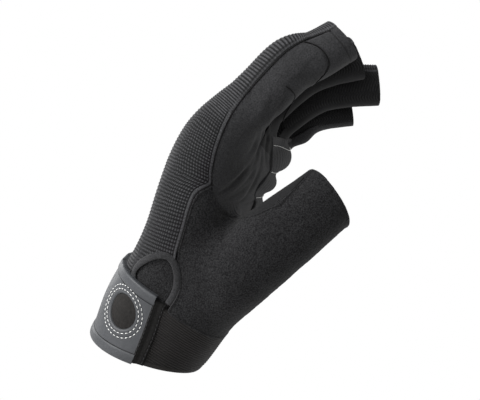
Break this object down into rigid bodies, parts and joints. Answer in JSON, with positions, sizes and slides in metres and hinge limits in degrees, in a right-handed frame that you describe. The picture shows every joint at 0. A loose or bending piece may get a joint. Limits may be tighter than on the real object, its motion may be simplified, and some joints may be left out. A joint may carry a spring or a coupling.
{
  "type": "climbing glove",
  "caption": "Left-hand three-quarter-finger climbing glove, bent as on a hand: ribbed knit back, suede palm, fleece thumb, elastic cuff and a leather closure tab with a round hole.",
  "frame": {"origin": "middle of the wrist opening, where the glove sits on the wrist", "axes": "+Z from the wrist to the fingers, +X out of the palm, -Y to the thumb's side of a left hand"},
  "size_m": [0.0864, 0.0901, 0.1826],
  "materials": {
    "knit": "matte ribbed stretch knit",
    "suede": "smooth synthetic suede",
    "fleece": "brushed loop fabric",
    "ribbed": "near-black ribbed fabric",
    "elastic": "ribbed elastic webbing",
    "leather": "satin coated leather"
  },
  "bodies": {
    "root": {"back_panel": "knit", "palm_panel": "suede", "thumb_panel": "fleece", "index_band": "suede", "fourchette_index_middle": "ribbed", "fourchette_middle_ring": "ribbed", "fourchette_ring_little": "ribbed", "palm_patch": "suede", "cuff_elastic": "elastic", "cuff_base": "ribbed", "notch_gusset": "ribbed", "notch_rim": "suede", "closure_tab": "leather", "tab_top_binding": "leather", "tab_bottom_binding": "leather", "tab_anchor": "elastic"}
  },
  "joints": []
}
